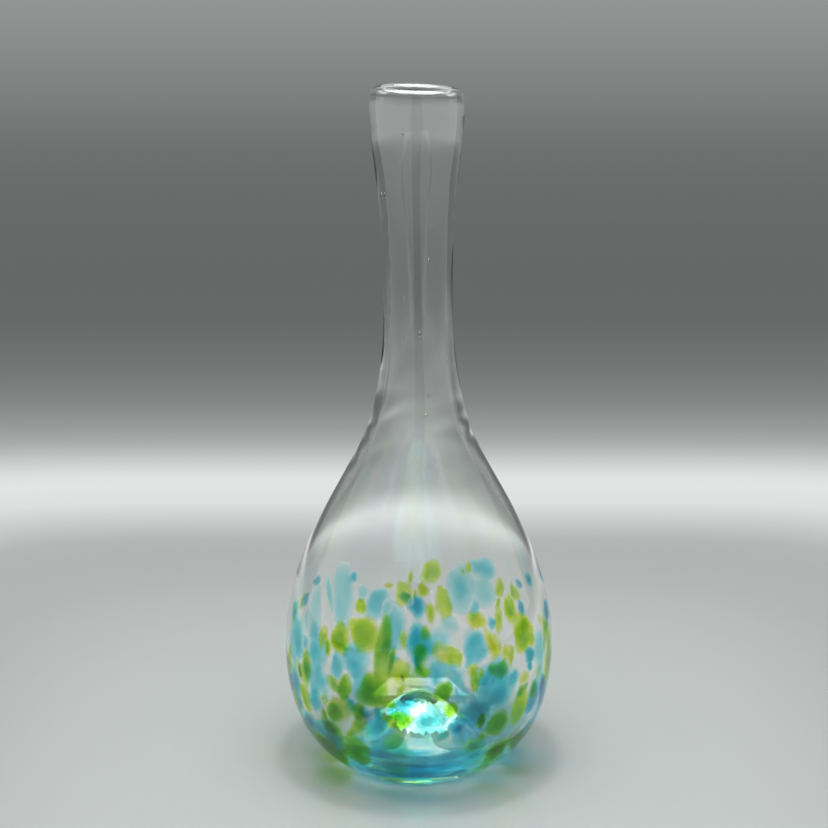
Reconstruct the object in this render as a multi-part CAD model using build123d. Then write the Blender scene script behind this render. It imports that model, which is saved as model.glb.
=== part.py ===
from build123d import *
import math
import os
import random

# Hand blown bud vase of clear glass with coloured frit in the wall of its body.
# Millimetres. The axis is +Z, the foot stands on Z = 0 and the front faces -Y.
# Every outline below is a half section: (radius, height) points in the XZ plane.

# ---------------------------------------------------------------- driving sizes
HEIGHT = 220.0                # foot to the top of the lip
BODY_RADIUS = 43.3            # widest point of the body
NECK_RADIUS = 10.8            # narrowest point of the neck
LIP_RADIUS = 14.5             # widest point under the lip
FOOT_INNER_RADIUS = 17.0      # flat contact ring that the vase stands on
FOOT_OUTER_RADIUS = 22.0
KICK_HEIGHT = 14.0            # how far the middle of the foot is pushed up
GATHER_LINE = 113.0           # height where the second gather of glass starts

LIP_OUTER = (13.9, 217.8)     # where the outer wall turns over into the lip
LIP_INNER = (9.9, 217.4)      # where the lip turns down into the bore
BASE_THICKNESS = 7.5
CHIP_THICKNESS = 0.4          # frit chip, flattened by blowing
CHIP_GAP = 0.35               # least clear glass between two chips
CHIP_CORNERS = 8              # points of a chip's uneven outline
COLUMN_HALF = 2.0             # half height of the column that a chip's outline is cut with

PONTIL_RADIUS = 11.5
PONTIL_LOW = 4.4              # lowest point of the scar, clear of what the vase stands on
PONTIL_CORNERS = 13           # corners of its broken outline

FRONT = -90.0                 # turn about Z that takes the +X half section to the front
PICKUP_SEED = 11              # the scatter of the chips is random, but always the same

# Section of the vase from the middle of the foot to the neck: radius and height on the outer
# surface, then how thick the outer gather and the inner gather are there. The foot is pushed
# up into a dome, the wall is thin round the belly and it thickens again into the neck.
WALL = [
    (0.0, KICK_HEIGHT, 2.4, BASE_THICKNESS - 2.4),
    (9.5, 8.0, 2.4, 3.4),
    (FOOT_INNER_RADIUS, 0.0, 2.6, 6.0),
    (FOOT_OUTER_RADIUS, 0.0, 2.4, 4.3),
    (27.0, 2.0, 1.9, 4.0),
    (35.4, 10.0, 1.3, 1.4),
    (41.6, 24.0, 1.0, 0.8),
    (BODY_RADIUS, 40.0, 0.8, 0.6),
    (41.1, 58.0, 0.9, 0.8),
    (37.2, 70.0, 0.8, 0.75),
    (31.0, 84.0, 0.9, 0.95),
    (23.5, 98.0, 1.2, 1.25),
    (16.6, 112.0, 1.2, 1.5),
    (13.5, 124.0, 1.2, 1.5),
    (11.6, 137.0, 0.0, 2.5),
    (NECK_RADIUS, 158.0, 0.0, 2.15),
    (11.6, 181.0, 0.0, 2.25),
    (13.2, 197.0, 0.0, 2.5),
    (14.3, 208.0, 0.0, 3.1),
]
RING_END = 3                  # place in WALL of the outer edge of the contact ring
CASING_END = 13               # place in WALL just past the gather line
KICK_FRACTION = 0.2           # the interface curve only climbs past this fraction of its length

# Frit chips that were placed by eye: turn from the front, height, width round the body,
# length up the wall, lean, colour. Turns and leans are in degrees.
PLACED_FRIT = [
    (-26, 58.0, 8.0, 8.0, 0, "lime"),
    (-28, 65.0, 3.5, 5.0, 8, "lime"),
    (-16, 54.0, 4.2, 15.0, -3, "leaf_green"),
    (-37, 54.0, 5.5, 8.0, 20, "lime"),
    (-28, 48.5, 6.0, 7.0, 0, "turquoise"),
    (-37, 46.0, 3.6, 6.0, 0, "turquoise"),
    (-33, 39.5, 5.0, 9.0, -15, "leaf_green"),
    (-20, 40.0, 9.0, 9.0, 0, "leaf_green"),
    (-46, 53.0, 3.0, 6.0, 0, "citron"),
    (-56, 40.5, 4.5, 9.0, 0, "leaf_green"),
    (-58, 30.0, 4.6, 8.5, 10, "lime"),
    (-50, 32.0, 3.6, 5.5, 0, "turquoise"),
    (-39, 29.5, 5.0, 5.0, 0, "leaf_green"),
    (-27, 27.5, 4.4, 9.0, -18, "citron"),
    (-29, 33.8, 3.2, 3.4, 0, "turquoise"),
    (-31, 16.5, 8.0, 10.0, 8, "leaf_green"),
    (-44, 20.5, 7.0, 9.0, 0, "teal"),
    (-14, 22.0, 7.0, 7.0, 0, "turquoise"),
    (-9, 31.0, 8.0, 5.0, 0, "lime"),
    (0, 56.0, 6.0, 9.0, 0, "teal"),
    (9, 57.0, 5.0, 6.5, 0, "aqua"),
    (14, 51.5, 4.4, 5.5, 0, "lime"),
    (25, 53.0, 6.5, 7.5, 0, "turquoise"),
    (-7, 57.0, 2.4, 5.0, 0, "citron"),
    (-8, 47.5, 4.4, 6.0, 0, "lime"),
    (1, 47.5, 5.0, 4.6, 0, "lime"),
    (7.5, 47.5, 3.4, 6.5, 0, "turquoise"),
    (10, 40.5, 4.6, 6.0, 0, "leaf_green"),
    (16, 45.0, 3.6, 5.0, 0, "aqua"),
    (18, 39.0, 3.6, 6.0, 0, "aqua"),
    (13, 34.5, 4.4, 4.6, 0, "lime"),
    (23.5, 43.0, 2.2, 6.0, 0, "citron"),
    (33, 39.5, 9.5, 11.5, 0, "turquoise"),
    (24, 31.5, 6.5, 5.5, 0, "teal"),
    (32, 54.0, 2.4, 9.0, 20, "citron"),
    (27, 61.0, 4.5, 4.0, 0, "citron"),
    (52, 53.5, 6.5, 9.0, 15, "lime"),
    (45, 61.0, 3.6, 6.5, 15, "lime"),
    (39, 50.0, 2.4, 4.0, 0, "citron"),
    (48, 29.5, 8.5, 14.0, 0, "lime"),
    (36, 26.5, 7.0, 8.0, 0, "leaf_green"),
    (27, 17.0, 8.5, 8.5, 0, "turquoise"),
    (14, 14.0, 6.0, 7.0, 0, "turquoise"),
    (75, 39.5, 7.0, 15.0, 0, "lime"),
    (63, 46.0, 5.0, 8.0, 0, "aqua"),
    (-51, 47.0, 3.6, 7.5, 0, "aqua"),
    (-67, 46.0, 6.0, 10.0, 0, "aqua"),
    (-45, 38.0, 4.6, 8.5, 0, "aqua"),
    (-67, 33.5, 5.0, 7.0, 0, "turquoise"),
    (-3, 10.0, 13.0, 7.0, 0, "teal"),
    (2, 40.0, 5.0, 5.0, 0, "aqua"),
    (2, 25.0, 7.0, 6.0, 0, "aqua"),
    (174, 49.0, 6.0, 9.0, 10, "lime"),
    (168, 36.5, 4.6, 11.0, -5, "lime"),
    (174, 32.0, 3.6, 7.5, 0, "lime"),
    (178, 41.0, 3.8, 6.5, 0, "lime"),
    (187, 40.0, 4.2, 8.5, 5, "lime"),
    (181, 34.0, 4.8, 6.0, 0, "teal"),
    (159, 42.5, 7.0, 14.5, 0, "turquoise"),
    (147, 53.0, 8.5, 7.0, 0, "turquoise"),
    (147, 44.0, 7.0, 8.0, 0, "aqua"),
    (137.5, 46.5, 4.4, 8.0, 0, "lime"),
    (155, 52.5, 2.4, 5.5, 0, "citron"),
    (138, 34.5, 3.4, 8.5, 0, "lime"),
    (131, 40.5, 4.0, 7.0, 0, "lime"),
    (123, 33.5, 7.0, 9.5, 0, "lime"),
    (152, 31.5, 4.8, 4.6, 0, "citron"),
    (219, 43.5, 6.0, 17.0, 0, "aqua"),
    (238, 42.0, 5.0, 10.0, 0, "aqua"),
    (255, 38.0, 7.0, 9.0, 0, "turquoise"),
    (200, 36.5, 6.5, 8.0, 0, "turquoise"),
    (192, 29.0, 6.5, 13.0, 0, "turquoise"),
    (207, 27.0, 8.0, 9.0, 0, "lime"),
]

# The rest fell at random. Each ring of the pick-up: height, chips tried in one turn round the
# body, least and greatest width, colours in the proportion in which they fell.
BLUES = ["turquoise", "aqua", "turquoise", "teal"]
GREENS = ["lime", "leaf_green", "citron"]
SCATTER_RINGS = [
    (7.0, 13, 6.0, 11.0, BLUES + ["leaf_green", "lime"]),
    (13.0, 15, 5.0, 9.0, BLUES + ["leaf_green"]),
    (20.0, 17, 4.0, 8.0, BLUES + GREENS),
    (28.0, 18, 4.0, 7.5, BLUES + GREENS),
    (37.0, 18, 3.5, 7.0, BLUES + GREENS),
    (46.0, 15, 3.0, 6.0, BLUES + GREENS),
    (54.0, 6, 2.5, 4.5, BLUES + GREENS),
    (9.0, 20, 3.0, 4.5, BLUES + ["leaf_green"]),
    (17.0, 24, 2.5, 4.0, BLUES + ["lime"]),
    (24.0, 26, 2.5, 3.6, BLUES + ["lime"]),
    (33.0, 26, 2.5, 3.4, BLUES + ["citron"]),
    (42.0, 24, 2.4, 3.2, BLUES + ["citron"]),
    (50.0, 12, 2.4, 3.0, BLUES + ["citron"]),
]
GROWTHS = [1.3, 1.2, 1.1]     # how far a chip may spread as the bubble is blown

# Chips under the foot: turn, distance from the axis, width, length, lean, colour.
FOOT_FRIT = [
    (-8, 20.0, 10.0, 5.5, 0, "teal"),
    (32, 20.0, 8.0, 5.0, 0, "turquoise"),
    (66, 20.0, 7.0, 5.0, 0, "lime"),
    (104, 20.0, 9.0, 5.0, 0, "turquoise"),
    (146, 20.0, 8.0, 5.0, 0, "aqua"),
    (188, 20.0, 8.0, 5.0, 0, "leaf_green"),
    (232, 20.0, 9.0, 5.0, 0, "teal"),
    (275, 20.0, 7.0, 5.0, 0, "aqua"),
    (314, 20.0, 8.0, 5.0, 0, "turquoise"),
    (18, 13.5, 5.5, 6.0, 0, "aqua"),
    (75, 13.5, 5.0, 6.0, 0, "turquoise"),
    (140, 13.5, 5.5, 6.0, 0, "citron"),
    (205, 13.5, 5.0, 6.0, 0, "turquoise"),
    (265, 13.5, 5.5, 6.0, 0, "aqua"),
    (325, 13.5, 5.0, 6.0, 0, "lime"),
    (45, 6.5, 4.5, 4.5, 0, "aqua"),
    (165, 6.0, 4.5, 4.5, 0, "citron"),
    (285, 6.0, 4.5, 4.5, 0, "turquoise"),
]

# Height bands that the chips are sorted into, so that a node is one colour in one band.
BANDS = [("heel", 14.0), ("lower", 27.0), ("middle", 41.0), ("upper", HEIGHT)]


# ---------------------------------------------------------------- half sections
def smooth(points, start, end):
    """Curve through half-section points that leaves along start and arrives along end."""
    places = [(radius, 0, height) for radius, height in points]
    directions = [(start[0], 0, start[1]), (end[0], 0, end[1])]
    return Spline(*places, tangents=directions, tangent_scalars=[1, 1])


def under_surface(first, last, thickness):
    """Points of WALL[first:last] moved into the glass, square to the surface, by thickness(row).
    The middle of the foot and the contact ring's edges move straight up."""
    points = []
    for place in range(first, last):
        radius, height = WALL[place][:2]
        before = WALL[max(place - 1, 0)]
        after = WALL[min(place + 1, len(WALL) - 1)]
        level = place in (0, RING_END - 1, RING_END)
        run, rise = (1, 0) if level else (after[0] - before[0], after[1] - before[1])
        depth = thickness(WALL[place]) / math.hypot(run, rise)
        points.append((radius - rise * depth, height + run * depth))
    return points


def outside_curves():
    """Underside, contact ring and outer wall of the finished vase, in order from the axis."""
    kick = smooth([row[:2] for row in WALL[:RING_END]], (1, 0), (0.75, -0.66))
    ring = Line((FOOT_INNER_RADIUS, 0, 0), (FOOT_OUTER_RADIUS, 0, 0))
    wall = [row[:2] for row in WALL[RING_END:]] + [(LIP_RADIUS, 213.0), LIP_OUTER]
    return [kick, ring, smooth(wall, (1, 0), (-0.35, 1))]


def lip_curve():
    """Fire-polished lip, rounded over from the outer wall to the bore."""
    top = ((LIP_OUTER[0] + LIP_INNER[0]) / 2, HEIGHT)
    return smooth([LIP_OUTER, top, LIP_INNER], (-0.35, 1), (0.1, -1))


def inside_curve():
    """Bore, hollow of the body and inner floor, from the lip down to the axis."""
    points = under_surface(0, len(WALL), lambda row: row[2] + row[3])
    return smooth([LIP_INNER] + points[::-1], (0.1, -1), (-1, 0))


def vase_section():
    """Whole glass of the vase, both gathers together."""
    axis = Line((0, 0, KICK_HEIGHT + BASE_THICKNESS), (0, 0, KICK_HEIGHT))
    return make_face(Curve() + outside_curves() + lip_curve() + inside_curve() + axis)


def interface(lift=0.0):
    """Surface of the first gather, or the same curve moved into the casing by lift."""
    points = under_surface(0, CASING_END + 1, lambda row: row[2] - lift)
    return smooth(points, (1, 0), (-0.2, 1))


def core_section(lift=0.0):
    """Everything inside the interface curve moved into the casing by lift."""
    curve = interface(lift)
    top = Line(curve @ 1, (0, 0, (curve @ 1).Z))
    axis = Line((0, 0, (curve @ 1).Z), curve @ 0)
    return make_face(Curve() + curve + top + axis)


def below_gather_line():
    """Plain half section of all that lies below the gather line."""
    width = BODY_RADIUS * 2
    corners = [(0, 0, -1), (width, 0, -1), (width, 0, GATHER_LINE), (0, 0, GATHER_LINE)]
    return make_face(Polyline(*corners, close=True))


# ---------------------------------------------------------------- frit
def place_on(curve, coordinate, value):
    """Fraction of the curve's length at which its radius ("X") or height ("Z") is value."""
    low, high = (0.0, 0.5) if coordinate == "X" else (KICK_FRACTION, 1.0)
    for _ in range(30):
        middle = (low + high) / 2
        if getattr(curve @ middle, coordinate) < value:
            low = middle
        else:
            high = middle
    return low


def chip_column(chip, chance):
    """Column with a chip's uneven outline, square to the first gather's surface at +X."""
    foot = chip["curve"] @ chip["fraction"]
    along = chip["curve"] % chip["fraction"]
    outward = Vector(along.Z, 0, -along.X)
    plane = Plane(origin=foot - outward * COLUMN_HALF, x_dir=(0, 1, 0), z_dir=outward)
    outline = []
    for corner in range(CHIP_CORNERS):
        angle = math.tau * corner / CHIP_CORNERS
        reach = chance.uniform(0.86, 1.0) / 2
        outline.append((chip["width"] * reach * math.cos(angle), chip["length"] * reach * math.sin(angle)))
    flat = make_face(Spline(*outline, periodic=True)).rotate(Axis.Z, chip["lean"])
    return extrude(plane * flat, amount=2 * COLUMN_HALF)


def reach_towards(chip, across, along):
    """Half size of a chip's outline in one direction of the wall."""
    distance = math.hypot(across, along)
    if distance == 0:
        return min(chip["width"], chip["length"]) / 2
    return 1 / math.hypot(2 * across / distance / chip["width"], 2 * along / distance / chip["length"])


def touching(one, other):
    """True if two chips would come closer than CHIP_GAP in the wall."""
    turn = (one["turn"] - other["turn"] + 180) % 360 - 180
    across = math.radians(turn) * (one["radius"] + other["radius"]) / 2
    along = one["run"] - other["run"]
    room = reach_towards(one, across, along) + reach_towards(other, across, along)
    return math.hypot(across, along) < room + CHIP_GAP


def chip_at(curve, coordinate, entry):
    """A chip's description, from one line of a list above."""
    turn, value, width, length, lean, colour = entry
    fraction = place_on(curve, coordinate, value)
    return {
        "curve": curve,
        "fraction": fraction,
        "radius": (curve @ fraction).X,
        "height": (curve @ fraction).Z,
        "run": fraction * curve.length,
        "turn": turn,
        "width": width,
        "length": length,
        "lean": lean,
        "colour": colour,
    }


def spread(chips):
    """Lets each chip flatten out into the room that its neighbours leave it."""
    for chip in chips:
        others = [other for other in chips if other is not chip]
        for growth in GROWTHS:
            wider = dict(chip, width=chip["width"] * growth, length=chip["length"] * growth)
            if not any(touching(wider, other) for other in others):
                chip.update(wider)
                break


def all_chips(chance):
    """Placed chips first, then the ones that fell between them without touching."""
    curve = interface()
    chips = [chip_at(curve, "X", entry) for entry in FOOT_FRIT]
    chips += [chip_at(curve, "Z", entry) for entry in PLACED_FRIT]
    for height, count, least, greatest, colours in SCATTER_RINGS:
        for place in range(count):
            turn = 360 * (place + chance.uniform(-0.3, 0.3)) / count
            width = chance.uniform(least, greatest)
            length = width * chance.uniform(0.8, 1.6)
            lean = chance.uniform(-15, 15)
            level = height + chance.uniform(-2.5, 2.5)
            entry = (turn, level, width, length, lean, chance.choice(colours))
            chip = chip_at(curve, "Z", entry)
            if not any(touching(chip, other) for other in chips):
                chips.append(chip)
    spread(chips)
    return chips


def node_name(chip):
    """Node that a chip belongs to: its colour and its band of the body."""
    if chip["radius"] < FOOT_OUTER_RADIUS:
        return chip["colour"] + "_frit_foot"
    return chip["colour"] + "_frit_" + next(name for name, top in BANDS if chip["height"] < top)


def layer(inner_lift, outer_lift):
    """Half turn of the glass between two lifts of the interface, centred on +X."""
    between = core_section(outer_lift) - core_section(inner_lift)
    return revolve(between, axis=Axis.Z, revolution_arc=170).rotate(Axis.Z, -85)


def pontil_scar(vase, chance):
    """Rough ring of glass that the punty left, with a broken outline and a sunken middle."""
    above = KICK_HEIGHT + 1
    profile = Polyline(
        (0, 0, PONTIL_LOW + 5.0),
        (PONTIL_RADIUS * 0.45, 0, PONTIL_LOW + 4.2),
        (PONTIL_RADIUS * 0.7, 0, PONTIL_LOW + 2.6),
        (PONTIL_RADIUS * 0.9, 0, PONTIL_LOW + 0.9),
        (PONTIL_RADIUS * 1.1, 0, PONTIL_LOW),
        (PONTIL_RADIUS * 1.1, 0, PONTIL_LOW + 5.0),
        (PONTIL_RADIUS * 0.5, 0, above - 0.5),
        (0, 0, above),
        close=True,
    )
    mound = revolve(make_face(profile), axis=Axis.Z)
    edge = []
    for corner in range(PONTIL_CORNERS):
        angle = math.tau * corner / PONTIL_CORNERS
        reach = PONTIL_RADIUS * chance.uniform(0.82, 1.0)
        edge.append((reach * math.cos(angle), reach * math.sin(angle)))
    broken = extrude(make_face(Polyline(*edge, close=True)), amount=above)
    return mound & broken - vase


def main():
    chance = random.Random(PICKUP_SEED)
    os.makedirs("parts", exist_ok=True)

    glass = vase_section()
    casing = (glass & below_gather_line()) - core_section()
    parts = {
        "inner_gather": revolve(glass - casing, axis=Axis.Z),
        "pontil_scar": pontil_scar(revolve(glass, axis=Axis.Z), chance),
    }

    chip_layer = layer(0, CHIP_THICKNESS)
    pocket_layer = layer(-CHIP_THICKNESS, CHIP_THICKNESS)
    pockets = []
    groups = {}
    for chip in all_chips(chance):
        column = chip_column(chip, chance)
        to_place = FRONT + chip["turn"]
        pockets.append((column & pocket_layer).rotate(Axis.Z, to_place))
        piece = (column & chip_layer).rotate(Axis.Z, to_place)
        groups.setdefault(node_name(chip), []).append(piece)

    parts["outer_gather"] = revolve(casing, axis=Axis.Z) - pockets
    for name, pieces in sorted(groups.items()):
        parts[name] = Compound(children=[solid for piece in pieces for solid in piece.solids()])
    for name, part in parts.items():
        export_step(part, "parts/" + name + ".step")


main()
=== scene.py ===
import math

import bpy
import numpy as np
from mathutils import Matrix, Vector
from mathutils.bvhtree import BVHTree

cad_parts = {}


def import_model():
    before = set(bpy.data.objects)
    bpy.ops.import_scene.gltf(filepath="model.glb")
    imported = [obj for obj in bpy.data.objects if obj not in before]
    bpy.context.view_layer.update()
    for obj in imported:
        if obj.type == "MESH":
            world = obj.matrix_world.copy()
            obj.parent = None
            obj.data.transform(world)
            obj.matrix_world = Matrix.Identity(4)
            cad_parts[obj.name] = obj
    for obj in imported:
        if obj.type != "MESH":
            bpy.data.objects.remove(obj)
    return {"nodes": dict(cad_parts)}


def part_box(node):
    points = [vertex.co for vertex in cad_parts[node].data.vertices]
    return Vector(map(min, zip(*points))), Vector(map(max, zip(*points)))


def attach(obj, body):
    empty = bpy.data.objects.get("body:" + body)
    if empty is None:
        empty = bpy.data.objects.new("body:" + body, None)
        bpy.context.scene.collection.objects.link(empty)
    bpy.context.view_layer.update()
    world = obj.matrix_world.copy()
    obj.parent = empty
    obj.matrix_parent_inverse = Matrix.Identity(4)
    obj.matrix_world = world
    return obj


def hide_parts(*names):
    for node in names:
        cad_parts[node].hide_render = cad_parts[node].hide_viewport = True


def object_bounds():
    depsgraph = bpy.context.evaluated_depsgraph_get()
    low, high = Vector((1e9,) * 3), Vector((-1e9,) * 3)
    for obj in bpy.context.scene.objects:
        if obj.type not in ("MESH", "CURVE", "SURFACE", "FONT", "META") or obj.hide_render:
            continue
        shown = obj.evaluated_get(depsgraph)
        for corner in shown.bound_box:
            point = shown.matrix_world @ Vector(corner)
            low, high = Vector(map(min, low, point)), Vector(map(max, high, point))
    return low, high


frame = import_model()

# Hand blown bud vase: two gathers of clear glass with coloured frit between them, and a broken
# pontil scar under the foot. Sizes are in metres, and the vase stands on Z = 0 with its front
# towards -Y. The sections of the gathers and the place of each chip are read from the packed
# model. What is added here is hand-made unevenness, melting and breakage.

MM = 0.001
FULL_TURN = 2 * math.pi
CAD_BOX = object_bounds()
LIP_HEIGHT = CAD_BOX[1][2]
GATHER_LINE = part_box("outer_gather")[1].z
BODY_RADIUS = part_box("outer_gather")[1].x
PONTIL_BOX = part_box("pontil_scar")
PONTIL_RADIUS = PONTIL_BOX[1].x
DRAW = np.random.default_rng(20)

SHELL_TURNS = 168             # facets round the glass shells
SECTION_STEP = 0.7 * MM       # spacing of points along a traced section
LIP_BELOW = 2.4 * MM          # how far under the top the lip's rounding starts
LIP_CREST = 0.6               # where across the lip its crest is: 0 outside, 1 at the bore
SCAR_BITE = 1.4 * MM          # how much deeper than in the CAD the scar reaches into the base
KICK_POINTS = 30              # points of the outer section that surely lie under the kick
WALL_START = 60               # point of a section by which it has surely turned up the wall


# ------------------------------------------------------------ sections of the CAD shells
FAN_CENTRE = 36 * MM          # height of the point that the lower rays start from
TRACE_TURNS = 12              # ways round the axis that a section is the mean of
EASING = 10                   # times that a traced section is smoothed


def tree_of(names):
    """Search tree over the CAD meshes of these nodes."""
    vertices, faces = [], []
    for name in names:
        mesh = frame["nodes"][name].data
        start = len(vertices)
        vertices += [vertex.co.copy() for vertex in mesh.vertices]
        faces += [[start + corner for corner in polygon.vertices] for polygon in mesh.polygons]
    return BVHTree.FromPolygons(vertices, faces)


def trace(tree, inward, top):
    """Mean (radius, height) section of a turned surface, from the axis under the vase to top.
    Rays fan out below FAN_CENTRE and run level above it; inward ones start outside."""
    reach = 4 * BODY_RADIUS
    rays = [(FAN_CENTRE, math.radians(angle)) for angle in range(-90, 1)]
    rays += [(height, 0.0) for height in np.arange(FAN_CENTRE + SECTION_STEP, top, SECTION_STEP)]
    section = []
    for height, slope in rays:
        origin = Vector((0, 0, height))
        hits = []
        for turn in np.arange(0.05, FULL_TURN, FULL_TURN / TRACE_TURNS):
            along = Vector((math.cos(slope) * math.cos(turn), math.cos(slope) * math.sin(turn),
                            math.sin(slope)))
            if inward:
                hit = tree.ray_cast(origin + along * reach, -along)[0]
            else:
                hit = tree.ray_cast(origin, along)[0]
            hits.append((math.hypot(hit.x, hit.y), hit.z))
        section.append(np.mean(hits, axis=0))
    section[0][0] = 0.0
    return np.array(section)


def eased(section):
    """The section with the facets of the CAD mesh smoothed out of it."""
    section = section.copy()
    for _ in range(EASING):
        section[1:-1] = (section[:-2] + 2 * section[1:-1] + section[2:]) / 4
    return section


def run_of(section):
    """Distance along a section at each of its points."""
    steps = np.hypot(*np.diff(section, axis=0).T)
    return np.concatenate([[0.0], np.cumsum(steps)])


def respaced(section):
    """The section with evenly spaced points."""
    run = run_of(section)
    places = np.linspace(0, run[-1], int(round(run[-1] / SECTION_STEP)) + 1)
    return np.column_stack([np.interp(places, run, section[:, axis]) for axis in (0, 1)])


def read_section(names, inward, top):
    """A turned CAD surface as an even, smooth section."""
    return respaced(eased(trace(tree_of(names), inward, top)))


def bitten(section):
    """The outer section, raised at the axis to where the scar bites into the base."""
    section = section.copy()
    share = 1 - step_up(section[:KICK_POINTS, 0], 3 * MM, 10 * MM)
    section[:KICK_POINTS, 1] += SCAR_BITE * share
    return section


def lip_between(outer_end, inner_end):
    """Lip from the end of the outer section over to the end of the inner one: it slopes up
    from outside to a crest nearer the bore and rolls over into it."""
    crest = outer_end[0] + (inner_end[0] - outer_end[0]) * LIP_CREST
    points = []
    for angle in np.linspace(0, math.pi / 2, 12)[1:]:
        radius = crest + (outer_end[0] - crest) * math.cos(angle) ** 1.1
        rise = (LIP_HEIGHT - outer_end[1]) * math.sin(angle) ** 0.75
        points.append((radius, outer_end[1] + rise))
    for angle in np.linspace(math.pi / 2, 0, 9)[1:-1]:
        radius = crest + (inner_end[0] - crest) * math.cos(angle)
        points.append((radius, inner_end[1] + (LIP_HEIGHT - inner_end[1]) * math.sin(angle)))
    return np.array(points)


def radius_at(section, height):
    """Radius of a section's wall at a height."""
    return np.interp(height, section[WALL_START:, 1], section[WALL_START:, 0])


# ------------------------------------------------------------ hand-made unevenness
# Waves: amplitude in mm, waves round the vase, waves in a metre of height, phase.
BODY_WAVES = [(0.16, 2, 5, 0.4), (0.07, 3, 11, 1.9), (0.04, 5, 24, 0.7)]
BORE_WAVES = [(0.10, 1, 7, 0.9), (0.06, 2, 19, 2.3), (0.04, 3, 33, 0.2)]
# Rings that the tools left: mm over the gather line, how far they stand out and how wide they
# are in mm, phase.
TOOL_RINGS = [
    (-11.5, 0.12, 3.2, 1.4),
    (-4.5, 0.16, 3.0, 0.2),
    (1.5, 0.22, 2.6, 2.6),
    (9.0, 0.14, 3.0, 4.0),
]
GROOVE_DEPTH = 0.20 * MM      # of the line down the front of the bore
GROOVE_WIDTH = 0.13           # in radians
LEAN = 0.8 * MM               # how far the top of the neck stands off the axis
LEAN_START = 105 * MM
LIP_DIP = 1.1 * MM            # how much lower the lip is on one side
LIP_DIP_TURN = math.radians(50)
LIP_DIP_START = 190 * MM


def step_up(value, start, end):
    """0 below start, 1 above end, smooth between."""
    share = np.clip((value - start) / (end - start), 0, 1)
    return share * share * (3 - 2 * share)


def bell(value, width):
    """1 at value 0, fading to nothing past about two widths."""
    return np.exp(-(value / width) ** 2)


def waves(turn, height, table):
    """Sum of slow waves."""
    total = 0
    for amplitude, around, rising, phase in table:
        total = total + amplitude * MM * np.sin(around * turn + rising * FULL_TURN * height + phase)
    return total


def tool_ring(turn, height, offset, depth, width, phase):
    """One ring of the tools: it wanders up and down, and is strongest at the two sides."""
    level = offset + 1.3 * np.sin(turn + phase) + 0.5 * np.sin(3 * turn + phase)
    depth_here = depth * (0.08 + 0.92 * np.cos(turn + 0.15 * phase) ** 4)
    return depth_here * MM * bell(height - (GATHER_LINE + level * MM), width * MM)


def groove(turn, height):
    """The wandering line down the front of the bore, within the neck."""
    groove_turn = -math.pi / 2 + 0.10 * np.sin(height * 95) + 0.05 * np.sin(height * 210 + 1)
    across = (turn - groove_turn + math.pi) % FULL_TURN - math.pi
    neck = step_up(height, 118 * MM, 140 * MM) * (1 - step_up(height, 195 * MM, 210 * MM))
    return GROOVE_DEPTH * bell(across, GROOVE_WIDTH) * neck


def swelling(turn, radius, height, inside):
    """How far the blown surface stands outside the true turned one."""
    slim = np.clip(radius / BODY_RADIUS, 0, 1)
    swell = waves(turn, height, BODY_WAVES) * (0.35 + 0.65 * slim)
    if inside:
        swell = swell + waves(turn, height, BORE_WAVES) * step_up(height, 60 * MM, 100 * MM)
        swell = swell + groove(turn, height)
    else:
        for ring in TOOL_RINGS:
            swell = swell + tool_ring(turn, height, *ring)
    return swell * step_up(radius, 4 * MM, 12 * MM) * step_up(height, 1.0 * MM, 8 * MM)


def lean(height):
    """How far the glass stands off the axis, towards -X, at a height."""
    return LEAN * step_up(height, LEAN_START, LIP_HEIGHT)


def blown(section, inside):
    """Grid of points (section, turns, 3) of a section turned round the axis and made uneven."""
    turn = np.arange(SHELL_TURNS)[None, :] * FULL_TURN / SHELL_TURNS
    radius, height = section[:, 0:1], section[:, 1:2]
    wide = np.maximum(radius + swelling(turn, radius, height, inside), 0)
    x = wide * np.cos(turn) - lean(height)
    y = wide * np.sin(turn)
    low_side = 0.5 + 0.5 * np.cos(turn - LIP_DIP_TURN)
    z = height - LIP_DIP * low_side * step_up(height, LIP_DIP_START, LIP_HEIGHT)
    return np.stack([x, y, z], axis=-1)


# ------------------------------------------------------------ meshes
def new_piece(name, vertices, faces, face_kinds, materials):
    """Mesh object, smooth, with hard edges only where its materials change."""
    mesh = bpy.data.meshes.new(name)
    mesh.from_pydata(np.asarray(vertices).tolist(), [], faces)
    for material in materials:
        mesh.materials.append(material)
    mesh.polygons.foreach_set("material_index", face_kinds)
    mesh.polygons.foreach_set("use_smooth", [True] * len(faces))
    if len(materials) > 1:
        kinds_at = {}
        for polygon in mesh.polygons:
            for key in polygon.edge_keys:
                kinds_at.setdefault(key, set()).add(polygon.material_index)
        for edge in mesh.edges:
            edge.use_edge_sharp = len(kinds_at[edge.key]) > 1
    mesh.update()
    piece = bpy.data.objects.new(name, mesh)
    bpy.context.scene.collection.objects.link(piece)
    return piece


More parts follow.
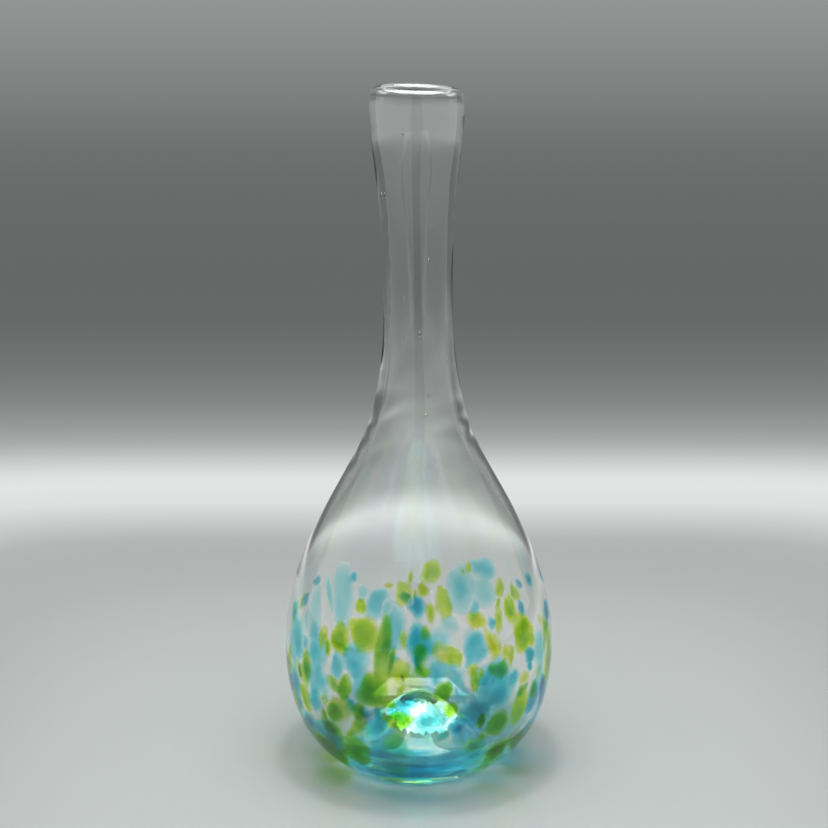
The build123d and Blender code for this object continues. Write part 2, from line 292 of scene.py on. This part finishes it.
def turned_faces(grids, kinds):
    """Vertices, faces and face kinds of grids joined end to end, closed at both poles.
    Each grid is (points, turns, 3); the first and last points of the whole lie on the axis."""
    grid = np.concatenate(grids)
    strips = np.concatenate([[kind] * len(part) for part, kind in zip(grids, kinds)])
    rows, turns = grid.shape[:2]
    vertices = np.concatenate([grid[0, :1], grid[1:-1].reshape(-1, 3), grid[-1, :1]])
    bottom, top = 0, len(vertices) - 1

    def at(row, turn):
        return 1 + (row - 1) * turns + turn % turns

    faces, face_kinds = [], []
    for turn in range(turns):
        faces.append((bottom, at(1, turn + 1), at(1, turn)))
        face_kinds.append(int(strips[0]))
        for row in range(1, rows - 2):
            low, high = (at(row, turn), at(row, turn + 1)), (at(row + 1, turn + 1), at(row + 1, turn))
            faces.append(low + high)
            face_kinds.append(int(max(strips[row], strips[row + 1])))
        faces.append((at(rows - 2, turn), at(rows - 2, turn + 1), top))
        face_kinds.append(int(strips[rows - 1]))
    return vertices.tolist(), faces, face_kinds


def bead_faces(start, rings, sides):
    """Faces of a closed bead whose vertices from start on are a pole, rings and a pole."""
    last = start + 1 + (rings - 1) * sides
    faces = []
    for side in range(sides):
        after = (side + 1) % sides
        faces.append((start, start + 1 + side, start + 1 + after))
        for ring in range(rings - 1):
            low = start + 1 + ring * sides
            high = low + sides
            faces.append((low + side, high + side, high + after, low + after))
        faces.append((last + side, last + sides, last + after))
    return faces


# ------------------------------------------------------------ material helpers
def link(tree, output, socket):
    tree.links.new(output, socket)


def clean_material(name):
    """Material with an empty node tree and its output node."""
    material = bpy.data.materials.new(name)
    material.use_nodes = True
    tree = material.node_tree
    tree.nodes.clear()
    return material, tree, tree.nodes.new("ShaderNodeOutputMaterial")


def feed(tree, socket, value):
    """Gives a socket an output to follow, or else a plain value."""
    if isinstance(value, bpy.types.NodeSocket):
        link(tree, value, socket)
    else:
        socket.default_value = value


def add(tree, kind, **values):
    """New shader node with these inputs fed; a blank in an input's name is written as _."""
    node = tree.nodes.new("ShaderNode" + kind)
    for name, value in values.items():
        feed(tree, node.inputs[name.replace("_", " ")], value)
    return node


def ranged(tree, value, start, end, least=0, most=1, smooth=False):
    """Output that goes from least to most while value goes from start to end."""
    node = add(tree, "MapRange", Value=value, From_Min=start, From_Max=end, To_Min=least, To_Max=most)
    if smooth:
        node.interpolation_type = "SMOOTHSTEP"
    return node.outputs["Result"]


def mixed_colour(tree, factor, first, second, blend="MIX"):
    """Output of two colours mixed or multiplied."""
    node = tree.nodes.new("ShaderNodeMix")
    node.data_type = "RGBA"
    node.blend_type = blend
    for name, value in (("Factor", factor), ("A", first), ("B", second)):
        feed(tree, node.inputs[name], value)
    return node.outputs["Result"]


def mixed_shader(tree, factor, first, second):
    """Output of two shaders mixed."""
    node = tree.nodes.new("ShaderNodeMixShader")
    for socket, output in zip(node.inputs, (factor, first, second)):
        link(tree, output, socket)
    return node.outputs["Shader"]


def maths(tree, operation, *values):
    """Output of a math node fed by sockets or plain numbers."""
    node = tree.nodes.new("ShaderNodeMath")
    node.operation = operation
    for socket, value in zip(node.inputs, values):
        feed(tree, socket, value)
    return node.outputs[0]


def position(tree):
    """Node whose outputs X, Y and Z are the place of the point being shaded."""
    place = add(tree, "NewGeometry")
    return add(tree, "SeparateXYZ", Vector=place.outputs["Position"])


# ------------------------------------------------------------ glass
GLASS_IOR = 1.5
BASE_SHADE_TOP = 16 * MM      # below this the thick base bends lamp light away


def glass_material(name, tint, roughness, shade):
    """Clear glass with faint clouding. Its shadow is light where lamps meet it square, darker
    where they graze it, and a dark blue-green under the thick base."""
    material, tree, output = clean_material(name)
    clouding = add(tree, "TexNoise", Scale=90, Detail=3)
    smear = ranged(tree, clouding.outputs["Fac"], 0.45, 0.75, roughness, roughness + 0.015)
    glass = add(tree, "BsdfPrincipled", Base_Color=(*tint, 1), Transmission_Weight=1,
                IOR=GLASS_IOR, Roughness=smear)
    facing = add(tree, "LayerWeight", Blend=0.35)
    square, grazing = (0.95, 0.965, 0.96, 1), (shade, shade, shade, 1)
    shaded = mixed_colour(tree, facing.outputs["Facing"], square, grazing)
    base = ranged(tree, position(tree).outputs["Z"], 1 * MM, BASE_SHADE_TOP, smooth=True)
    bent_away = mixed_colour(tree, base, (0.20, 0.46, 0.47, 1), (0.96, 0.99, 0.985, 1))
    shadow = mixed_colour(tree, 1, shaded, bent_away, "MULTIPLY")
    lets_through = add(tree, "BsdfTransparent", Color=shadow)
    path = add(tree, "LightPath")
    surface = mixed_shader(tree, path.outputs["Is Shadow Ray"], glass.outputs["BSDF"],
                           lets_through.outputs["BSDF"])
    link(tree, surface, output.inputs["Surface"])
    return material


def seam_material():
    """Where two pieces of the same glass are fused nothing shows, so this lets all light by."""
    material, tree, output = clean_material("fused_seam")
    through = add(tree, "BsdfTransparent")
    link(tree, through.outputs["BSDF"], output.inputs["Surface"])
    return material


def frit_material(name, passed, milk):
    """Coloured glass that passes these shares of red, green and blue through a chip's
    thickness, with a little milkiness in patches."""
    material, tree, output = clean_material(name)
    depth = [-math.log(share) / CHIP_THICK for share in passed]
    deepest = max(depth)
    volume = add(tree, "VolumeAbsorption", Density=deepest,
                 Color=(*[1 - value / deepest for value in depth], 1))
    link(tree, volume.outputs["Volume"], output.inputs["Volume"])
    through = add(tree, "BsdfTransparent")
    body = add(tree, "BsdfTranslucent", Color=(*[min(1, 0.15 + share) for share in passed], 1))
    mottle = add(tree, "TexNoise", Scale=420, Detail=4)
    amount = ranged(tree, mottle.outputs["Fac"], 0.35, 0.7, milk * 0.4, milk * 1.6)
    surface = mixed_shader(tree, amount, through.outputs["BSDF"], body.outputs["BSDF"])
    link(tree, surface, output.inputs["Surface"])
    return material


def frosted(material, colour, least, most):
    """Adds the white, crushed look of broken glass in patches."""
    tree = material.node_tree
    surface = tree.nodes["Material Output"].inputs["Surface"]
    clear = surface.links[0].from_socket
    powder = tree.nodes.new("ShaderNodeAddShader")
    for kind, socket in zip(("BsdfTranslucent", "BsdfDiffuse"), powder.inputs):
        link(tree, add(tree, kind, Color=(*colour, 1)).outputs["BSDF"], socket)
    cells = add(tree, "TexVoronoi", Scale=1100)
    amount = ranged(tree, cells.outputs["Color"], 0.1, 0.9, least, most)
    link(tree, mixed_shader(tree, amount, clear, powder.outputs["Shader"]), surface)


CHIP_THICK = 0.45 * MM
CLEAR = glass_material("clear_blown_glass", (0.985, 0.995, 0.99), 0.0, 0.28)
SEAM = seam_material()
BROKEN = glass_material("broken_glass", (0.98, 1.0, 0.99), 0.03, 0.5)
frosted(BROKEN, (0.80, 1.0, 1.0), 0.04, 0.5)
FRIT = {
    "turquoise": frit_material("turquoise_frit_glass", (0.20, 0.76, 0.86), 0.08),
    "aqua": frit_material("aqua_frit_glass", (0.50, 0.90, 0.94), 0.08),
    "teal": frit_material("teal_frit_glass", (0.06, 0.60, 0.74), 0.06),
    "lime": frit_material("lime_frit_glass", (0.58, 0.80, 0.02), 0.06),
    "leaf_green": frit_material("leaf_green_frit_glass", (0.24, 0.60, 0.01), 0.06),
    "citron": frit_material("citron_frit_glass", (0.80, 0.86, 0.12), 0.06),
}


# ------------------------------------------------------------ the two gathers
LIP_START = LIP_HEIGHT - LIP_BELOW
OUTER = bitten(read_section(["inner_gather", "outer_gather"], True, LIP_START))
BORE = read_section(["inner_gather"], False, LIP_START)
FIRST = read_section(["inner_gather"], True, GATHER_LINE - 0.3 * MM)
LIP = lip_between(OUTER[-1], BORE[-1])
KICK = OUTER[:KICK_POINTS]
GLASS, FUSED = 0, 1

# Air seeds in the neck: degrees round from the front, height in mm, radius in mm, and how
# many times longer than wide the pull has made them.
SEEDS = [
    (-18, 207, 0.35, 1.6),
    (-67, 187, 0.35, 3.2),
    (19, 168, 0.25, 3.0),
    (-25, 156, 0.22, 2.6),
    (2, 145, 0.35, 3.4),
    (14, 126, 0.3, 2.2),
    (9, 120, 0.4, 1.4),
    (150, 176, 0.3, 2.4),
    (205, 139, 0.3, 2.6),
    (96, 160, 0.25, 2.4),
    (-140, 196, 0.3, 2.0),
]
SEED_RINGS, SEED_SIDES = 6, 12


def seed_vertices(centre, size, stretch):
    """Points of one closed void, tall along Z: a pole, rings and a pole."""
    vertices = [(centre - [0, 0, size * stretch]).tolist()]
    for ring in range(1, SEED_RINGS + 1):
        angle = math.pi * ring / (SEED_RINGS + 1)
        for side in range(SEED_SIDES):
            around = FULL_TURN * side / SEED_SIDES
            away = np.array([math.sin(angle) * math.cos(around), math.sin(angle) * math.sin(around),
                             -math.cos(angle) * stretch])
            vertices.append((centre + size * away).tolist())
    vertices.append((centre + [0, 0, size * stretch]).tolist())
    return vertices


def add_seeds(vertices, faces, face_kinds):
    """Adds the air seeds, which lie in the middle of the neck's wall."""
    for degrees, height_mm, size_mm, stretch in SEEDS:
        height = height_mm * MM
        turn = math.radians(degrees) - math.pi / 2
        middle = (radius_at(OUTER, height) + radius_at(BORE, height)) / 2
        centre = np.array([middle * math.cos(turn) - lean(height), middle * math.sin(turn), height])
        seed = bead_faces(len(vertices), SEED_RINGS, SEED_SIDES)
        vertices += seed_vertices(centre, size_mm * MM, stretch)
        faces += seed
        face_kinds += [GLASS] * len(seed)


def cut_at_line():
    """The outer section below and above the gather line, both with the same point on it."""
    on_line = np.array([[radius_at(OUTER, GATHER_LINE), GATHER_LINE]])
    gap = 0.2 * SECTION_STEP
    below = OUTER[OUTER[:, 1] < GATHER_LINE - gap]
    above = OUTER[OUTER[:, 1] > GATHER_LINE + gap]
    return np.concatenate([below, on_line]), np.concatenate([on_line, above])


def blended_lip():
    """The lip, whose points pass from the outer surface's unevenness to the bore's."""
    lip = blown(LIP, False)
    shift = blown(BORE[-1:], True) - blown(BORE[-1:], False)
    shares = np.linspace(0, 1, len(lip) + 2)[1:-1]
    return lip + shift * shares[:, None, None]


def inner_gather():
    """The first bubble: its skin up to the gather line, the neck, the lip and the bore."""
    above = cut_at_line()[1]
    grids = [blown(FIRST, False), blown(above, False), blended_lip(), blown(BORE[::-1], True)]
    vertices, faces, kinds = turned_faces(grids, [FUSED, GLASS, GLASS, GLASS])
    add_seeds(vertices, faces, kinds)
    return new_piece("inner_gather_glass", vertices, faces, kinds, [CLEAR, SEAM])


def scar_reach(turn):
    """Radius of the broken outline of the pontil scar, which is widest towards the back."""
    share = 0.83 + 0.12 * np.sin(turn) + 0.07 * np.cos(turn) + 0.03 * np.sin(3 * turn + 1)
    share = share + 0.02 * np.sin(7 * turn) + 0.015 * np.sin(13 * turn + 2)
    return PONTIL_RADIUS * share


def outer_gather():
    """The second gather round the first one, fused to it and to the scar under the kick."""
    below = cut_at_line()[0]
    grids = [blown(below, False), blown(FIRST[::-1], False)]
    vertices, faces, kinds = turned_faces(grids, [GLASS, FUSED])
    places = np.array(vertices)
    kick_top = KICK[0, 1] + 0.5 * MM
    for index, face in enumerate(faces):
        x, y, z = places[list(face)].mean(0)
        if z < kick_top and math.hypot(x, y) < scar_reach(math.atan2(y, x)):
            kinds[index] = FUSED
    return new_piece("outer_gather_glass", vertices, faces, kinds, [CLEAR, SEAM])


# ------------------------------------------------------------ frit chips
FIRST_RUN = run_of(FIRST)
FIRST_CRUMB = 25              # points of the first gather's section between which crumbs lie
LAST_CRUMB = int(np.argmax(FIRST[:, 1] > 50 * MM))
CHIP_SIDES, CHIP_RINGS = 26, 7
CHIP_SPREAD = 1.32            # how much further than the CAD's flakes the melted chips flow out
LOW_SPREAD = 1.62             # and at the heel and foot, where they run into each other
BLUES = ("turquoise", "aqua", "teal")
BLUE_SPREAD, GREEN_SPREAD = 1.12, 0.88
CHIP_SUNK = 0.12              # share of a chip's thickness that is sunk into the first gather
CRUMB_SHARE = 0.45            # how many chips have a crumb that broke off them
SAME_PLACE = 0.001 * MM       # vertices this close are one


def islands(mesh):
    """Vertex groups of a mesh's separate solids, with split vertices joined by place."""
    points = np.array([vertex.co for vertex in mesh.vertices])
    keys = [tuple(key) for key in np.round(points / SAME_PLACE).astype(int)]
    place = {key: key for key in keys}

    def root(key):
        while place[key] != key:
            place[key] = place[place[key]]
            key = place[key]
        return key

    for polygon in mesh.polygons:
        first = root(keys[polygon.vertices[0]])
        for corner in polygon.vertices[1:]:
            place[root(keys[corner])] = first
    groups = {}
    for index, key in enumerate(keys):
        groups.setdefault(root(key), []).append(index)
    return [points[group] for group in groups.values()]


def chip_frame(points):
    """Where a CAD chip lies on the first gather, how large it is and how far it leans."""
    centre = (points.min(0) + points.max(0)) / 2
    turn = math.atan2(points[:, 1].mean(), points[:, 0].mean())
    outward = np.array([math.cos(turn), math.sin(turn), 0])
    around = np.array([-math.sin(turn), math.cos(turn), 0])
    radius = float(points.mean(0) @ outward)
    gaps = np.hypot(FIRST[:, 0] - radius, FIRST[:, 1] - points[:, 2].mean())
    place = int(np.argmin(gaps))
    ahead = FIRST[min(place + 2, len(FIRST) - 1)] - FIRST[max(place - 2, 0)]
    ahead = ahead / np.hypot(*ahead)
    along = outward * ahead[0] + np.array([0, 0, ahead[1]])
    local = np.column_stack([(points - centre) @ around, (points - centre) @ along])
    spread = np.cov(local.T)
    lean_angle = 0.5 * math.atan2(2 * spread[0, 1], spread[1, 1] - spread[0, 0])
    wide = np.array([math.cos(lean_angle), -math.sin(lean_angle)])
    long = np.array([math.sin(lean_angle), math.cos(lean_angle)])
    return {"turn": turn, "place": place, "radius": radius, "lean": lean_angle,
            "width": np.ptp(local @ wide), "length": np.ptp(local @ long),
            "flat": abs(ahead[1]) < 0.5}


def crumb_of(chip):
    """Small piece of the same frit that melted in beside a chip."""
    angle = DRAW.uniform(0, FULL_TURN)
    away = DRAW.uniform(0.65, 1.0)
    side_step = chip["width"] * away * math.cos(angle)
    up_step = chip["length"] * away * math.sin(angle)
    place = chip["place"] + round(up_step / SECTION_STEP)
    crumb = dict(chip)
    crumb["turn"] += side_step / chip["radius"]
    crumb["place"] = int(np.clip(place, FIRST_CRUMB, LAST_CRUMB))
    crumb["width"] *= DRAW.uniform(0.3, 0.6)
    crumb["length"] *= DRAW.uniform(0.4, 0.8)
    crumb["lean"] += DRAW.uniform(-0.4, 0.4)
    return crumb


def point_at(run):
    """(radius, height) of the first gather's section at a distance along it."""
    return np.column_stack([np.interp(run, FIRST_RUN, FIRST[:, axis]) for axis in (0, 1)])


def first_at(run):
    """(radius, height) and outward normal of the first gather at a distance along it."""
    step = 0.5 * MM
    along = point_at(run + step) - point_at(run - step)
    along = along / np.hypot(along[:, 0], along[:, 1])[:, None]
    return point_at(run), np.column_stack([along[:, 1], -along[:, 0]])


def laid(chip, side_step, up_step):
    """Turn and distance along the first gather's section of points of a chip, given how far
    they are from its middle across and up. Flat chips lie on the floor, round the axis."""
    if chip["flat"]:
        outward = chip["radius"] + up_step
        turn = chip["turn"] + np.arctan2(side_step, outward)
        floor = slice(0, WALL_START)
        return turn, np.interp(np.hypot(outward, side_step), FIRST[floor, 0], FIRST_RUN[floor])
    return chip["turn"] + side_step / chip["radius"], FIRST_RUN[chip["place"]] + up_step


def chip_mesh(chip, spread):
    """Melted chip: a lens with a wandering outline that lies on the first gather's surface.
    Returns its upper and its lower rows of points, each from the middle to the rim."""
    sides = np.arange(CHIP_SIDES) * FULL_TURN / CHIP_SIDES
    outline = np.ones(CHIP_SIDES)
    for order in range(2, 6):
        amplitude = DRAW.uniform(0.02, 0.11) / (order - 1) ** 0.4
        outline += amplitude * np.cos(order * sides + DRAW.uniform(0, 6.3))
    outline *= spread
    thick = CHIP_THICK * DRAW.uniform(0.85, 1.1)
    skew = DRAW.uniform(-0.25, 0.25, 2)
    hollow = DRAW.uniform(0.0, 0.35)
    folds = DRAW.uniform(0, FULL_TURN, 3)
    rings = np.linspace(0, 1, CHIP_RINGS + 1) ** 0.8
    tops, bottoms = [], []
    for ring in rings:
        across = chip["width"] / 2 * outline * ring * np.cos(sides)
        along = chip["length"] / 2 * outline * ring * np.sin(sides)
        side_step = across * math.cos(chip["lean"]) + along * math.sin(chip["lean"])
        up_step = -across * math.sin(chip["lean"]) + along * math.cos(chip["lean"])
        turn, run = laid(chip, side_step, up_step)
        here, normal = first_at(run)
        level = max(1 - ring ** 2.0, 0) ** 1.1 * thick
        level = level * (1 + skew[0] * ring * np.cos(sides) + skew[1] * ring * np.sin(sides))
        level = level * (1 - hollow * math.cos(ring * 5 + folds[0]))
        level = level * (1 + 0.3 * ring * np.cos(2 * sides + folds[1])
                         + 0.2 * ring * np.cos(3 * sides + folds[2]))
        for lift, rows in ((level, tops), (-CHIP_SUNK * level, bottoms)):
            radius = here[:, 0] + normal[:, 0] * lift
            height = here[:, 1] + normal[:, 1] * lift
            wide = radius + swelling(turn, radius, height, False)
            rows.append(np.column_stack([wide * np.cos(turn) - lean(height), wide * np.sin(turn),
                                         height]))
    return tops, bottoms


def spread_of(node):
    """How far the chips of a node flow out."""
    spread = LOW_SPREAD if node.endswith(("_heel", "_foot")) else CHIP_SPREAD
    return spread * (BLUE_SPREAD if node.startswith(BLUES) else GREEN_SPREAD)


def chip_piece(node):
    """All chips of one CAD node, melted."""
    chips = []
    for points in islands(frame["nodes"][node].data):
        chip = chip_frame(points)
        chips.append(chip)
        if not chip["flat"] and DRAW.random() < CRUMB_SHARE:
            chips.append(crumb_of(chip))
    vertices, faces = [], []
    for chip in chips:
        tops, bottoms = chip_mesh(chip, spread_of(node))
        rings = tops[1:] + bottoms[-2:0:-1]
        faces += bead_faces(len(vertices), len(rings), CHIP_SIDES)
        for row in [tops[0][:1]] + rings + [bottoms[0][:1]]:
            vertices += row.tolist()
    colour = node.split("_frit_")[0]
    return new_piece(node + "_chips", vertices, faces, [0] * len(faces), [FRIT[colour]])


# ------------------------------------------------------------ pontil scar
SCAR_SIDES, SCAR_RINGS, SCAR_FACETS = 168, 40, 260
SCAR_TILT = 0.9               # steepest slope of a facet
SCAR_LOW = PONTIL_BOX[0].z
SCAR_THICK = 1.6 * MM         # of the broken glass in its middle
SCAR_RIDGE = 1.2 * MM         # how much thicker it is near its rim
SCAR_LEAST = 0.15 * MM


def pontil_scar():
    """Broken glass under the kick: flat, tilted facets below, fused to the kick above."""
    sites = DRAW.uniform(-1, 1, (SCAR_FACETS, 2)) * PONTIL_RADIUS
    tilts = DRAW.uniform(-SCAR_TILT, SCAR_TILT, (SCAR_FACETS, 2))
    heights = DRAW.uniform(-0.5, 0.6, SCAR_FACETS) * MM
    turns = np.arange(SCAR_SIDES) * FULL_TURN / SCAR_SIDES
    outline = scar_reach(turns)
    tops, bottoms = [], []
    for ring in np.linspace(0, 1, SCAR_RINGS + 1):
        x, y = outline * ring * np.cos(turns), outline * ring * np.sin(turns)
        kick = np.interp(np.hypot(x, y), KICK[:, 0], KICK[:, 1])
        nearest = np.argmin((x[:, None] - sites[:, 0]) ** 2 + (y[:, None] - sites[:, 1]) ** 2, axis=1)
        facet = heights[nearest] + tilts[nearest, 0] * (x - sites[nearest, 0])
        facet = facet + tilts[nearest, 1] * (y - sites[nearest, 1])
        under = kick - SCAR_THICK - SCAR_RIDGE * bell(ring - 0.7, 0.25) + facet
        under = np.clip(under, SCAR_LOW, kick - SCAR_LEAST)
        if ring == 1:
            under = kick
        tops.append(np.column_stack([x, y, kick]))
        bottoms.append(np.column_stack([x, y, under]))
    grids = [np.stack(bottoms), np.stack(tops[-2::-1])]
    vertices, faces, kinds = turned_faces(grids, [GLASS, FUSED])
    piece = new_piece("pontil_scar_glass", vertices, faces, kinds, [BROKEN, SEAM])
    piece.data.polygons.foreach_set("use_smooth", [False] * len(faces))
    return piece


# ------------------------------------------------------------ build the vase
def install(piece, node):
    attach(piece, "root")
    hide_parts(node)


install(inner_gather(), "inner_gather")
install(outer_gather(), "outer_gather")
install(pontil_scar(), "pontil_scar")
for node in sorted(frame["nodes"]):
    if "_frit_" in node:
        install(chip_piece(node), node)


# ------------------------------------------------------------ studio
FLOOR_EDGE = 1.0              # where the floor turns up into the wall
BEND = 0.12                   # radius of that bend
WALL_TOP = 1.3
SWEEP_TURNS = 96
SQUARENESS = 6                # the sweep's outline is a square with very round corners
PAPER_EDGE = (0.10, 0.20)     # between these distances the lit paper passes into the sweep's glow of painted light
# Painted light of the sweep, which glows though it is no lamp: a painted bright band where its floor
# would catch the lamps, painted shade falling off beyond it, and a little painted light up the wall.
# Columns: distance from the vase along the floor and up the wall, level.
SWEEP_PAINTED_LIGHT = [
    (0.0, 0.45), (0.19, 0.45), (0.215, 0.50), (0.25, 0.69), (0.268, 0.75), (0.292, 0.76),
    (0.31, 0.67), (0.33, 0.54), (0.35, 0.42), (0.375, 0.335), (0.42, 0.25), (0.475, 0.198),
    (0.54, 0.163), (0.62, 0.141), (0.75, 0.135), (0.95, 0.140), (1.09, 0.150), (1.145, 0.17),
    (1.19, 0.205), (1.24, 0.250), (1.29, 0.30),
]


def sweep_material():
    """Satin paper near the vase, lit by the lamps. Further out it glows by itself with the painted
    light listed above: a painted bright band and painted shade.
    """
    material, tree, output = clean_material("sweep")
    split = position(tree)
    powers = [maths(tree, "POWER", maths(tree, "ABSOLUTE", split.outputs[axis]), SQUARENESS)
              for axis in "XY"]
    reach = maths(tree, "POWER", maths(tree, "ADD", *powers), 1 / SQUARENESS)
    run = maths(tree, "ADD", reach, split.outputs["Z"])
    longest = SWEEP_PAINTED_LIGHT[-1][0]
    ramp = add(tree, "ValToRGB", Fac=maths(tree, "MULTIPLY", run, 1 / longest))
    ramp.color_ramp.interpolation = "CARDINAL"
    while len(ramp.color_ramp.elements) < len(SWEEP_PAINTED_LIGHT):
        ramp.color_ramp.elements.new(0.5)
    for element, (distance, level) in zip(ramp.color_ramp.elements, SWEEP_PAINTED_LIGHT):
        element.position = distance / longest
    for element, (distance, level) in zip(ramp.color_ramp.elements, SWEEP_PAINTED_LIGHT):
        element.color = (level * 0.985, level * 1.01, level, 1)
    # painted light: this glow gives the sweep its painted bright band and painted shade, with no lamp
    # behind it
    painted_glow = add(tree, "Emission", Color=ramp.outputs["Color"])
    paper = add(tree, "BsdfPrincipled", Base_Color=(0.220, 0.232, 0.228, 1), Roughness=0.19, IOR=1.5)
    painted_glow_share = ranged(tree, run, *PAPER_EDGE, smooth=True)
    surface = mixed_shader(tree, painted_glow_share, paper.outputs["BSDF"], painted_glow.outputs["Emission"])
    link(tree, surface, output.inputs["Surface"])
    material.cycles.emission_sampling = "NONE"
    return material


def studio():
    """Pale seamless sweep, the same from every side: floor, soft bend and wall."""
    section = [(0.0, 0.0)] + [(radius, 0.0) for radius in np.linspace(0.05, FLOOR_EDGE, 24)]
    for angle in np.linspace(0, math.pi / 2, 9)[1:]:
        section.append((FLOOR_EDGE + BEND * math.sin(angle), BEND * (1 - math.cos(angle))))
    section.append((FLOOR_EDGE + BEND, WALL_TOP))
    vertices, faces = [], []
    for radius, height in section:
        for turn in range(SWEEP_TURNS):
            angle = FULL_TURN * turn / SWEEP_TURNS
            square = abs(math.cos(angle)) ** SQUARENESS + abs(math.sin(angle)) ** SQUARENESS
            reach = radius / square ** (1 / SQUARENESS)
            vertices.append((reach * math.cos(angle), reach * math.sin(angle), height))
    for row in range(len(section) - 1):
        for turn in range(SWEEP_TURNS):
            low, high, after = row * SWEEP_TURNS, (row + 1) * SWEEP_TURNS, (turn + 1) % SWEEP_TURNS
            faces.append((low + turn, high + turn, high + after, low + after))
    sweep = new_piece("sweep", vertices, faces, [0] * len(faces), [sweep_material()])


def lamp(name, place, target, size, power):
    """Soft rectangular lamp aimed at target."""
    light = bpy.data.lights.new(name, "AREA")
    light.shape = "RECTANGLE"
    light.size, light.size_y = size
    light.energy = power
    holder = bpy.data.objects.new(name, light)
    bpy.context.scene.collection.objects.link(holder)
    holder.location = place
    aim = Vector(target) - Vector(place)
    holder.rotation_euler = aim.to_track_quat("-Z", "Y").to_euler()
    return holder


def lamps():
    """A wide overhead lamp with a bright core, and cards on both sides that only gloss shows:
    high ones for the body's edges and low ones in front for the neck's."""
    lamp("overhead", (0.0, -0.03, 0.56), (0, -0.01, 0), (0.50, 0.50), 6.6)
    lamp("overhead_core", (0.0, -0.01, 0.555), (0, -0.01, 0), (0.06, 0.06), 1.4)
    for side in (-1, 1):
        high = lamp("side_card", (side * 0.375, -0.18, 0.30), (0, 0.011, 0.22), (1.08, 0.6), 1.5)
        low_place = (side * 0.178, -0.393, 0.02)
        low = lamp("low_card", low_place, (low_place[0], low_place[1], 1), (0.2, 0.55), 0.26)
        low.rotation_euler = (math.pi, 0, side * math.radians(11))
        for card in (high, low):
            card.visible_camera = False
            card.visible_transmission = False


CAMERA_PLACE = (-0.0016, -0.5886, 0.2871)
CAMERA_DOWN = 16.13           # degrees that it looks down
CAMERA_LENS = 84.4            # mm, over a sensor 36 mm wide


def camera():
    """Camera at the height and distance that fit the vase's foreshortening."""
    data = bpy.data.cameras.new("camera")
    data.sensor_width = 36
    data.lens = CAMERA_LENS
    data.clip_start = 0.01
    holder = bpy.data.objects.new("camera", data)
    bpy.context.scene.collection.objects.link(holder)
    holder.location = CAMERA_PLACE
    holder.rotation_euler = (math.radians(90 - CAMERA_DOWN), 0, 0)
    bpy.context.scene.camera = holder


def world():
    """Soft, even light from all round."""
    shell = bpy.data.worlds.new("studio_air")
    bpy.context.scene.world = shell
    shell.use_nodes = True
    background = shell.node_tree.nodes["Background"]
    background.inputs["Color"].default_value = (0.32, 0.325, 0.325, 1)
    background.inputs["Strength"].default_value = 1.0


def light_paths():
    """Enough bounces for light to get through all the layers of glass."""
    cycles = bpy.context.scene.cycles
    cycles.max_bounces = 32
    cycles.transmission_bounces = 32
    cycles.glossy_bounces = 16
    cycles.transparent_max_bounces = 96
    cycles.diffuse_bounces = 3


studio()
lamps()
camera()
world()
light_paths()
bpy.context.scene.view_settings.view_transform = "Standard"
